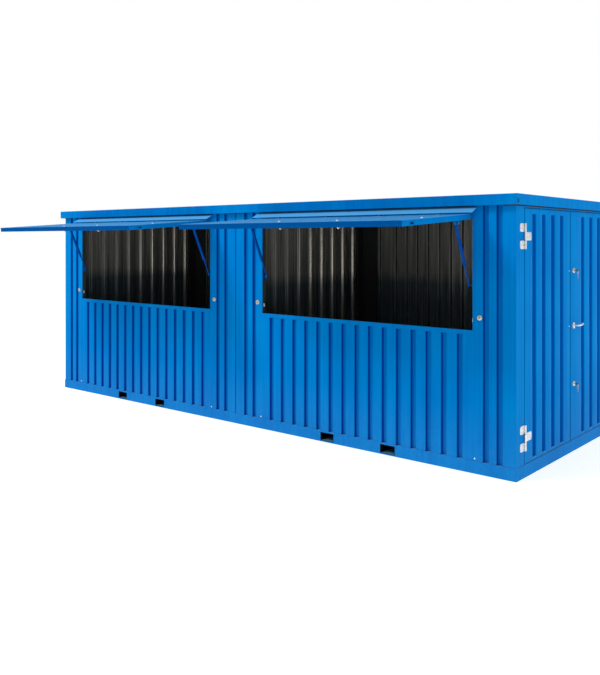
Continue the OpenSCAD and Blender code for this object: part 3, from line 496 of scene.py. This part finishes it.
def groove_line(first, centres, groove, last):
    """Corners (along, depth) of a pressed sheet: first corners, a flat-bottomed groove at each centre, last
    corners."""
    mouth, floor, depth = groove
    along = np.add.outer(centres, np.array([-mouth, -floor, floor, mouth]) / 2)
    deep = np.broadcast_to([0, depth, depth, 0], along.shape)
    middle = np.stack([along.ravel(), deep.ravel()], axis=1)
    return np.concatenate([np.array(first, float), middle, np.array(last, float)])


def buckle(along, height, seed):
    """Slight hollows of a thin sheet, in metres: three crossed sine waves of 0.5 to 1.7 m with seeded
    phases."""
    phase = np.random.default_rng(seed).uniform(0, 2 * math.pi, (3, 2))
    swell = np.zeros(np.broadcast(along, height).shape)
    for (across, upward), (shift_a, shift_b) in zip(BUCKLE_WAVES, phase):
        swell = swell + np.sin(across * along + shift_a) * np.sin(upward * height + shift_b)
    return BUCKLE * swell


def thick_line(outer):
    """A line and its copy one sheet's thickness behind, along the line's normal, as one closed section."""
    step = np.gradient(outer, axis=-2)
    normal = np.stack([-step[..., 1], step[..., 0]], axis=-1)
    inner = outer + SHEET * normal / np.linalg.norm(normal, axis=-1, keepdims=True)
    return np.concatenate([outer, inner[..., ::-1, :]], axis=-2)


def pressed_sheet(corners, heights, press, face_half, place, seed, dark_folds=False, bend=BEND):
    """A two-sided sheet. Its outer line carries (along, depth) up the heights; the depth of its grooves is
    scaled by press at each height; its inner line lies one sheet's thickness behind. With dark_folds, the
    folds beyond the face have the third finish, a painted shade in the gaps beside the door leaves."""
    line = rounded(corners, bend)
    along = np.broadcast_to(line[:, 0], (len(heights), len(line)))
    in_face = np.abs(along - place["middle"]) < face_half
    depth = line[:, 1] * np.where(in_face, press[:, None], 1.0)
    depth = depth + np.where(in_face, buckle(along, heights[:, None], seed), 0.0)
    section = thick_line(np.stack([along, depth], axis=-1))
    upright = np.broadcast_to(heights[:, None, None], section.shape[:2] + (1,))
    rings = placed(np.concatenate([section, upright], axis=-1), place)
    side = np.repeat([0, 1], len(line))
    if dark_folds:
        beyond = np.abs(line[:, 0] - place["middle"]) > face_half
        side[:len(line)] = 2 * ((line[:, 1] > FOLD_START) & beyond)
    return skin(rings, side)


def straight_sheet(start, end, centres, groove, low, high, origin, along, inward, seed, bend=BEND):
    """A wall sheet whose grooves run its whole height from low to high."""
    corners = groove_line([(start, 0)], centres, groove, [(end, 0)])
    heights = np.linspace(low, high, SHEET_ROWS)
    place = {"origin": origin, "along": along, "inward": inward, "up": (0, 0, 1),
             "middle": (start + end) / 2}
    return pressed_sheet(corners, heights, np.ones(len(heights)), end - start, place, seed, bend=bend)


def groove_ends(low, high, ends):
    """Heights from low to high, and the share of the groove's depth at each: it rises smoothly, as
    3s^2 - 2s^3, over a short ramp at both ends of the groove."""
    start, stop = low + ends[0], high - ends[1]
    ramp = np.linspace(0, GROOVE_RAMP, RAMP_ROWS)
    between = np.linspace(start, stop, FLUTE_ROWS)[1:-1]
    heights = np.concatenate([[low], start + ramp, between, stop - ramp[::-1], [high]])
    share = np.clip(np.minimum(heights - start, stop - heights) / GROOVE_RAMP, 0, 1)
    return heights, share * share * (3 - 2 * share)


def folded_strip(corners, half, place):
    """A bent strip, SHEET thick: the line through corners (height, depth) with rounded bends, carried along
    the place from end to end, one sheet short of both."""
    section = thick_line(rounded(np.array(corners, float), BEND))
    ends = np.array([-half + SHEET, half - SHEET])[:, None]
    local = np.stack(np.broadcast_arrays(ends, section[:, 1], section[:, 0]), axis=-1)
    return skin(placed(local, place))


def turned(profile, centre, axis, sides=24, finish=0):
    """A profile of (radius, height) pairs carried once round the axis through centre."""
    axis = unit(axis)
    side = unit(np.cross(axis, (0.3, 0.5, 0.81)))
    turn = np.linspace(0, 2 * math.pi, sides, endpoint=False)[:, None]
    circle = np.cos(turn) * side + np.sin(turn) * np.cross(axis, side)
    radius, height = np.array(profile, float).T
    rings = np.asarray(centre) + radius[:, None, None] * circle + height[:, None, None] * axis
    return skin(rings, finish)


def tube(path, radius, normal, sides=12, finish=0):
    """A round section carried along a flat path; normal is the direction across the path's plane."""
    path = np.asarray(path, float)
    radius = np.broadcast_to(radius, len(path))
    step = np.gradient(path, axis=0)
    forward = step / np.linalg.norm(step, axis=1, keepdims=True)
    side = np.cross(normal, forward)
    turn = np.linspace(0, 2 * math.pi, sides, endpoint=False)[None, :, None]
    ring = np.cos(turn) * side[:, None] + np.sin(turn) * unit(normal)
    return skin(path[:, None] + radius[:, None, None] * ring, finish)


def plate(outline, thickness, ease, origin, along, up, out, finish=0):
    """A flat plate: an outline (along, up) lifted by thickness towards out, with its front edge eased."""
    outline = np.asarray(outline, float)
    step = np.roll(outline, -1, axis=0) - np.roll(outline, 1, axis=0)
    inwards = np.stack([-step[:, 1], step[:, 0]], axis=1) / np.linalg.norm(step, axis=1, keepdims=True)
    flat = np.stack([outline, outline, outline + 0.5 * ease * inwards, outline + 1.5 * ease * inwards])
    lift = np.array([0, thickness - ease, thickness - 0.3 * ease, thickness])
    lifted = np.broadcast_to(lift[:, None, None], flat.shape[:2] + (1,))
    local = np.concatenate([flat, lifted], axis=-1)
    return skin(np.asarray(origin, float) + local @ np.array([along, up, out], float), finish)


def screws(places, out, radius, finish=0):
    """Pan heads with a socket: one turned profile, in shares of the radius, once for each place."""
    profile = radius * np.array([(1, 0), (1, 0.3), (0.8, 0.6), (0.5, 0.72), (0.42, 0.72), (0.36, 0.4),
                                 (0.05, 0.36)])
    return [turned(profile, place, out, sides=12, finish=finish) for place in places]


def joint(name):
    """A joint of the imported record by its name."""
    return next(j for j in frame["joints"] if j["name"] == name)


# Wall sheets
def front_sheets(side):
    """The sheet under the serving opening and the two beside it."""
    low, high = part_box(side + "_lower_wall")
    mid = (low.x + high.x) / 2
    front = (mid, low.y, 0)
    seed = 3 if side == "left" else 11
    under = straight_sheet(low.x - mid, high.x - mid, MID_GROOVES, FRONT_GROOVE, low.z, high.z, front,
                           (1, 0, 0), (0, 1, 0), seed)
    piece(side + "_lower_sheet", [under], [FRONT_BLUE, DARK], "units", "blue_steel", side + "_lower_wall")
    low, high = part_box(side + "_side_panels")
    start, end = low.x - mid, -OPENING_HALF
    beside = [straight_sheet(start, end, start + SIDE_GROOVES, FRONT_GROOVE, low.z, high.z, front,
                             (turn, 0, 0), (0, 1, 0), seed + turn) for turn in (1, -1)]
    piece(side + "_side_sheets", beside, [FRONT_BLUE, DARK], "units", "blue_steel", side + "_side_panels")


def back_sheet(side):
    """The back wall's one wide sheet, with the same grooves as the front."""
    low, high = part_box(side + "_back_wall")
    mid = (low.x + high.x) / 2
    edge = low.x - mid
    centres = np.concatenate([edge + SIDE_GROOVES, MID_GROOVES, -(edge + SIDE_GROOVES)[::-1]])
    sheet = straight_sheet(edge, -edge, centres, FRONT_GROOVE, low.z, high.z, (mid, high.y, 0),
                           (-1, 0, 0), (0, -1, 0), 17)
    piece(side + "_back_sheet", [sheet], [BLUE, BACK_DARK], "units", "blue_steel", side + "_back_wall")


def end_sheet(node, facing, seed, lining):
    """A sheet across a unit's end, facing -X or +X, with the finish lining on its inner side."""
    low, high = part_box(node)
    face = low.x if facing < 0 else high.x
    sheet = straight_sheet(low.y, high.y, END_GROOVES, END_GROOVE, low.z, high.z, (face, 0, 0),
                           (0, 1, 0), (-facing, 0, 0), seed, bend=END_BEND)
    piece(node.replace("wall", "sheet"), [sheet], [BLUE, lining], "units", "blue_steel", node)


# Hatches
def hatch_place(side):
    """The open hatch's place: its hinge, the direction along it, the one through the hatch's thickness, and
    the one up its length when it is closed."""
    hinge = joint(side + "_hatch_hinge")
    turn = -math.radians(hinge["range_deg"][1])
    return {"origin": hinge["pos_m"], "along": (1, 0, 0), "inward": (0, math.cos(turn), math.sin(turn)),
            "up": (0, -math.sin(turn), math.cos(turn)), "middle": 0.0}


def hatch_sheet(side):
    """The hatch's grooved skin with its folded rim, hanging from the hinge axis as origin."""
    place = hatch_place(side)
    low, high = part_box(side + "_hatch_skin")
    half = (high.x - low.x) / 2
    corners = groove_line([(-half, HATCH_RIM), (-half, 0)], MID_GROOVES, HATCH_GROOVE,
                          [(half, 0), (half, HATCH_RIM)])
    heights, press = groove_ends(HATCH_BOTTOM + BEND, HATCH_TOP,
                                 (HATCH_GROOVE_ENDS[0] - BEND, HATCH_GROOVE_ENDS[1]))
    face = pressed_sheet(corners, heights, press, half - 2 * BEND, place, 23)
    rim = folded_strip([(HATCH_BOTTOM, HATCH_RIM), (HATCH_BOTTOM, 0), (HATCH_BOTTOM + BEND, 0)], half, place)
    piece(side + "_hatch_sheet", [face, rim], [HATCH_BLUE, DARK], side + "_hatch", "blue_steel",
          side + "_hatch_skin")


def struts(side):
    """Both gas struts of a hatch: turned tubes with a necked head and a cross boss, and rods with an eye."""
    place = hatch_place(side)
    along = place["along"]
    head = placed(np.array([0, STRUT_DEEP, -STRUT_ALONG]), place)
    foot = np.array(joint(side + "_strut_swing")["pos_m"])
    axis = unit(head - foot)
    body = [(ROD_R + ROD_GAP, -TUBE_LENGTH), (TUBE_R - TUBE_EASE, -TUBE_LENGTH),
            (TUBE_R, -TUBE_LENGTH + TUBE_EASE), (TUBE_R, -NECK_START), (TUBE_R - NECK_STEP, -NECK_MIDDLE),
            (BOSS_R, -NECK_END), (BOSS_R, -NECK_TOP)]
    boss = [(BOSS_R - EYE_EASE, -TUBE_R), (BOSS_R, -TUBE_R + EYE_EASE), (BOSS_R, -EYE_HALF),
            (EYE_R, -EYE_HALF), (EYE_R, EYE_HALF), (BOSS_R, EYE_HALF), (BOSS_R, TUBE_R - EYE_EASE),
            (BOSS_R - EYE_EASE, TUBE_R)]
    eye = [(EYE_R - EYE_EASE, -EYE_HALF), (EYE_R, -EYE_HALF + EYE_EASE), (EYE_R, EYE_HALF - EYE_EASE),
           (EYE_R - EYE_EASE, EYE_HALF)]
    rod = [(ROD_R, ROD_START), (ROD_R, ROD_LENGTH - NECK_STEP), (ROD_R - NECK_STEP, ROD_LENGTH)]
    tubes, rods = [], []
    for end in (-STRUT_X, STRUT_X):
        shift = np.array([end, 0, 0])
        tubes += [turned(body, head + shift, axis), turned(boss, head + shift, along, finish=1)]
        rods += [turned(rod, foot + shift, axis, sides=16), turned(eye, foot + shift, along, finish=1)]
    piece(side + "_gas_tubes", tubes, [STRUT_BLUE, BLUE], side + "_tubes", "strut_tube",
          side + "_strut_tubes")
    piece(side + "_gas_rods", rods, [STRUT_BLUE, STRUT_BLUE], side + "_rods", "zinc", side + "_strut_rods")


def hatch_hooks(side):
    """Hooks bolted through the hatch skin: a domed head outside, and a bent round bar inside."""
    place = hatch_place(side)
    out = -np.array(place["inward"])
    parts = []
    for x in HOOK_X:
        bolt = np.array([x, 0, HOOK_HEIGHT])
        bar = rounded(HOOK_BAR + bolt, HOOK_BEND)
        parts.append(tube(placed(bar, place), HOOK_R, place["along"], sides=10))
        parts += screws([placed(bolt, place)], out, HEAD_R)
    parts += screws([placed(np.array([SIDE_HEAD_X, 0, SIDE_HEAD_HEIGHT]), place)], out, HEAD_R)
    piece(side + "_hatch_hooks", parts, [ZINC], side + "_hatch", "zinc")


def hatch_locks():
    """Round locks beside the openings, with a brass core, and the catches inside."""
    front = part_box("right_lower_wall")[0].y
    wide, high = CATCH_WIDTH / 2, CATCH_HEIGHT / 2
    block = rounded_loop(rectangle(-wide, -high, wide, high), CATCH_ROUND)
    parts = []
    for middle in (-UNIT_MIDDLE, UNIT_MIDDLE):
        for end in (-1, 1):
            place = (middle + end * LOCK_X, front, LOCK_Z)
            parts.append(turned(LOCK_ROSE, place, (0, -1, 0), sides=32))
            parts.append(turned(LOCK_CORE, place, (0, -1, 0), finish=1))
            jamb = (middle + end * (OPENING_HALF - CATCH_SUNK), front + CATCH_BACK, LOCK_Z - CATCH_DROP)
            parts.append(plate(block, CATCH_THICK, CATCH_EASE, jamb, (0, end, 0), (0, 0, 1), (-end, 0, 0),
                               finish=2))
    piece("lock_roses", parts, [CREAM, BRASS, ZINC], "units", "zinc", "hatch_locks")


def foot_screws():
    """One bright screw at each lower corner of the sheets under the openings."""
    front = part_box("right_lower_wall")[0].y
    places = [(middle + end * FOOT_SCREW_X, front, FOOT_SCREW_Z)
              for middle in (-UNIT_MIDDLE, UNIT_MIDDLE) for end in (-1, 1)]
    piece("foot_screws", screws(places, (0, -1, 0), FOOT_SCREW_R), [STEEL], "units", "zinc")


# Doors
def leaf_sheet(node, body, grooves):
    """A door leaf: a pressed face, folded back on all sides, with a lip towards the room."""
    low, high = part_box(node)
    half = (high.y - low.y) / 2
    place = {"origin": (high.x, (low.y + high.y) / 2, 0), "along": (0, 1, 0), "inward": (-1, 0, 0),
             "up": (0, 0, 1), "middle": 0.0}
    corners = groove_line([(-half + LEAF_LIP, LEAF_DEPTH), (-half, LEAF_DEPTH), (-half, 0)], grooves,
                          END_GROOVE, [(half, 0), (half, LEAF_DEPTH), (half - LEAF_LIP, LEAF_DEPTH)])
    heights, press = groove_ends(low.z + BEND, high.z - BEND, np.array(LEAF_GROOVE_ENDS) - BEND)
    parts = [pressed_sheet(corners, heights, press, half - 2 * BEND, place, 31, dark_folds=True)]
    for edge, inside in ((low.z, 1), (high.z, -1)):
        fold = [(edge + inside * LEAF_LIP, LEAF_DEPTH), (edge, LEAF_DEPTH), (edge, 0),
                (edge + inside * BEND, 0)]
        parts.append(folded_strip(fold, half, place))
    piece(node.replace("door_leaf", "leaf_sheet"), parts, [LEAF_BLUE, LEAF_DARK, FOLD_SHADE], body,
          "blue_steel", node)


def hinge_plate(face, axis_y, turn, reach, z):
    """One plate of a door hinge with round outer corners, its knuckle and two screws, along turn * Y."""
    half = PLATE_HEIGHT / 2
    outline = rounded_loop(rectangle(0, -half, reach, half), PLATE_ROUND)
    knuckle = [(KNUCKLE_R - KNUCKLE_EASE, -half), (KNUCKLE_R, -half + KNUCKLE_EASE),
               (KNUCKLE_R, half - KNUCKLE_EASE), (KNUCKLE_R - KNUCKLE_EASE, half)]
    made = [plate(outline, PLATE, PLATE_EASE, (face, axis_y, z), (0, turn, 0), (0, 0, 1), (1, 0, 0)),
            turned(knuckle, (face + KNUCKLE_R, axis_y, z), (0, 0, 1), sides=20)]
    places = [(face + PLATE, axis_y + turn * reach * share, z + lift) for share, lift in HINGE_SCREWS]
    return made + screws(places, (1, 0, 0), HINGE_SCREW_R, finish=1)


def door_hinges():
    """Both hinges of each leaf: two plates on the post with one on the leaf between them."""
    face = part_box("front_door_leaf")[1].x
    on_post = []
    for name, end in (("front", -1), ("rear", 1)):
        axis_y = joint(name + "_door_hinge")["pos_m"][1]
        on_leaf = []
        for z in HINGE_MIDDLES:
            on_leaf += hinge_plate(face, axis_y, -end, LEAF_REACH, z)
            on_post += hinge_plate(face, axis_y, end, POST_REACH, z - HINGE_PITCH)
            on_post += hinge_plate(face, axis_y, end, POST_REACH, z + HINGE_PITCH)
        piece(name + "_hinge_plates", on_leaf, [ZINC, STEEL], name + "_leaf", "zinc", name + "_leaf_hinges")
    piece("post_hinge_plates", on_post, [ZINC, STEEL], "units", "zinc", "door_post_hinges")


def keys(place):
    """A key in its lock, and a spare that hangs from it on a ring, the circle (sin t, cos t) times its
    radius."""
    bow = ellipse(KEY_BOW)
    shank = np.array([(SHANK_START, 0, 0), (SHANK_END, 0, 0)])
    turn = np.linspace(0, 2 * math.pi, 33)
    ring = np.stack([RING_OUT + 0 * turn, RING_R * np.sin(turn), -RING_DROP + RING_R * np.cos(turn)], axis=1)
    blade = rounded_loop(rectangle(-BLADE_WIDTH / 2, BLADE_LOW, BLADE_WIDTH / 2, BLADE_HIGH), BLADE_ROUND)
    return [tube(place + shank, SHANK_R, (0, 0, 1), sides=8, finish=1),
            plate(bow, KEY_THICK, KEY_EASE, place + (KEY_OUT, KEY_THICK / 2, 0), (1, 0, 0), (0, 0, 1),
                  (0, -1, 0), finish=1),
            tube(place + ring, RING_WIRE, (1, 0, 0), sides=8),
            plate(bow, KEY_THICK, KEY_EASE, place + (SPARE_OUT, 0, -SPARE_DROP), (0, 1, 0), (0, 0, 1),
                  (1, 0, 0), finish=1),
            plate(blade, KEY_THICK, BLADE_EASE, place + (SPARE_OUT, 0, 0), (0, 1, 0), (0, 0, 1), (1, 0, 0),
                  finish=1)]


def edge_rivets():
    """Two rivets at the front leaf's free edge, level with the lever and the upper lock."""
    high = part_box("front_door_leaf")[1]
    places = [(high.x, high.y - RIVET_INSET, z) for z in (LEVER_Z, HIGH_LOCK_Z)]
    piece("leaf_edge_rivets", screws(places, (1, 0, 0), RIVET_R), [STEEL], "front_leaf", "zinc")


def door_furniture():
    """Two locks with keys, a rose for the lever, and the bow-shaped lever itself."""
    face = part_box("rear_door_leaf")[1].x
    parts = []
    for z in (LOW_LOCK_Z, HIGH_LOCK_Z):
        place = np.array([face, FURNITURE_Y, z])
        parts.append(turned(DOOR_ROSE, place, (1, 0, 0), sides=28))
        parts.append(turned(DOOR_CORE, place, (1, 0, 0), finish=1))
        parts += keys(place)
    place = np.array([face, FURNITURE_Y, LEVER_Z])
    parts.append(plate(ellipse(LEVER_ROSE), LEVER_ROSE_THICK, LEVER_ROSE_EASE, place, (0, 1, 0), (0, 0, 1),
                       (1, 0, 0)))
    piece("locks_and_keys", parts, [ZINC, BRASS], "rear_leaf", "zinc", "door_locks")
    bow = rounded(LEVER_PATH, LEVER_BEND)
    thick = np.interp(np.linspace(0, 1, len(bow)), [0, 0.5, 1], LEVER_RADII)
    piece("bow_lever", [tube(place + bow, thick, (0, 0, 1), sides=16)], [ZINC], "lever", "zinc", "door_lever")


for side in ("left", "right"):
    front_sheets(side)
    back_sheet(side)
    hatch_sheet(side)
    struts(side)
    hatch_hooks(side)
hatch_locks()
foot_screws()
door_hinges()
edge_rivets()
door_furniture()
end_sheet("left_end_wall", -1, 41, END_DARK)
end_sheet("left_party_wall", 1, 43, DARK)
end_sheet("right_party_wall", -1, 47, SEAM_DARK)
leaf_sheet("front_door_leaf", "front_leaf", FRONT_LEAF_GROOVES)
leaf_sheet("rear_door_leaf", "rear_leaf", REAR_LEAF_GROOVES)

# Finishes of the CAD nodes that show, by the ending of their names
NODE_FINISHES = {
    "base_frame": BLUE, "fork_tubes": FORK_SHADE, "floor": PLYWOOD, "corner_posts": TWO_TONE_AND_SHADE,
    "header": TWO_TONE_AND_SHADE, "lining": TWO_TONE_AND_SHADE, "roof": ROOF_TONE_AND_SHADE, "flashing": SKY_LIT_FLASHING,
    "door_header": TWO_TONE_AND_SHADE, "hatch_frame": HATCH_BLUE, "hatch_hinges": ZINC, "strut_plates": STRUT_BLUE,
}
for name, node in frame["nodes"].items():
    for ending, finish in NODE_FINISHES.items():
        if name.endswith(ending):
            for place in node.material_slots:
                place.material = finish

# Studio; the camera's values in pixels are those of the photograph's frame
WHITE = (1, 1, 1, 1)
WORLD_GLOW, FLOOR_GLOW = 0.53, 0.52
FLOOR_REACH = 60.0
LIGHTS = (("top_light", (-4.5, -9.0, 10.5), 3.0, 850), ("end_light", (10.0, 2.0, 5.0), 5.0, 205))
LIGHTS_AIM = (0.5, 0.0, 1.0)
FOCAL_PX, HORIZON_PX = 780.0, 240.05
FRAME_HEIGHT_PX = 675
SENSOR = 36.0
CAMERA_PLACE = (5.553, -6.705, 1.845)
CAMERA_TURN = 0.698


def surround(scene):
    """A white surround that lights the object less than it shows to the camera."""
    world = bpy.data.worlds.new("studio")
    world.use_nodes = True
    scene.world = world
    tree = world.node_tree
    around = tree.nodes["Background"]
    around.inputs["Color"].default_value = WHITE
    around.inputs["Strength"].default_value = WORLD_GLOW
    seen = add(tree, "LightPath").outputs["Is Camera Ray"]
    backdrop = add(tree, "Background", {"Color": WHITE, "Strength": 1.0})
    mixed = add(tree, "MixShader", {0: seen, 1: around.outputs[0], 2: backdrop.outputs[0]})
    tree.links.new(mixed.outputs[0], tree.nodes["World Output"].inputs["Surface"])


def studio_floor(scene):
    """A pale matt floor with a glow of its own, so that it runs into the surround."""
    mesh = bpy.data.meshes.new("studio_floor")
    reach = FLOOR_REACH
    corners = [(-reach, -reach, 0), (reach, -reach, 0), (reach, reach, 0), (-reach, reach, 0)]
    mesh.from_pydata(corners, [], [(0, 1, 2, 3)])
    floor = bpy.data.objects.new("studio_floor", mesh)
    scene.collection.objects.link(floor)
    made, _, shader, _ = new_material("white_floor")
    shader.inputs["Base Color"].default_value = linear("#f4f4f4")
    shader.inputs["Emission Color"].default_value = WHITE
    shader.inputs["Emission Strength"].default_value = FLOOR_GLOW
    shader.inputs["Roughness"].default_value = 0.9
    shader.inputs["Specular IOR Level"].default_value = 0.0
    mesh.materials.append(made)


def studio_lights(scene):
    """Soft square lights, from the front above and from the right, turned towards the object."""
    for name, place, size, power in LIGHTS:
        lamp = bpy.data.lights.new(name, "AREA")
        lamp.size = size
        lamp.energy = power
        made = bpy.data.objects.new(name, lamp)
        made.location = place
        aim = np.array(LIGHTS_AIM) - np.array(place)
        made.rotation_euler = (math.acos(-unit(aim)[2]), 0, math.atan2(-aim[0], aim[1]))
        scene.collection.objects.link(made)


def photo_camera(scene):
    """A level camera at the photograph's angle, shifted so that its horizon has the right height."""
    lens = bpy.data.cameras.new("photo_camera")
    lens.sensor_width = SENSOR
    lens.lens = FOCAL_PX / FRAME_HEIGHT_PX * SENSOR
    lens.shift_y = (HORIZON_PX - FRAME_HEIGHT_PX / 2) / FRAME_HEIGHT_PX
    camera = bpy.data.objects.new("photo_camera", lens)
    camera.location = CAMERA_PLACE
    camera.rotation_euler = (math.pi / 2, 0, CAMERA_TURN)
    scene.collection.objects.link(camera)
    scene.camera = camera


studio = bpy.context.scene
studio.view_settings.view_transform = "Standard"
surround(studio)
studio_floor(studio)
studio_lights(studio)
photo_camera(studio)
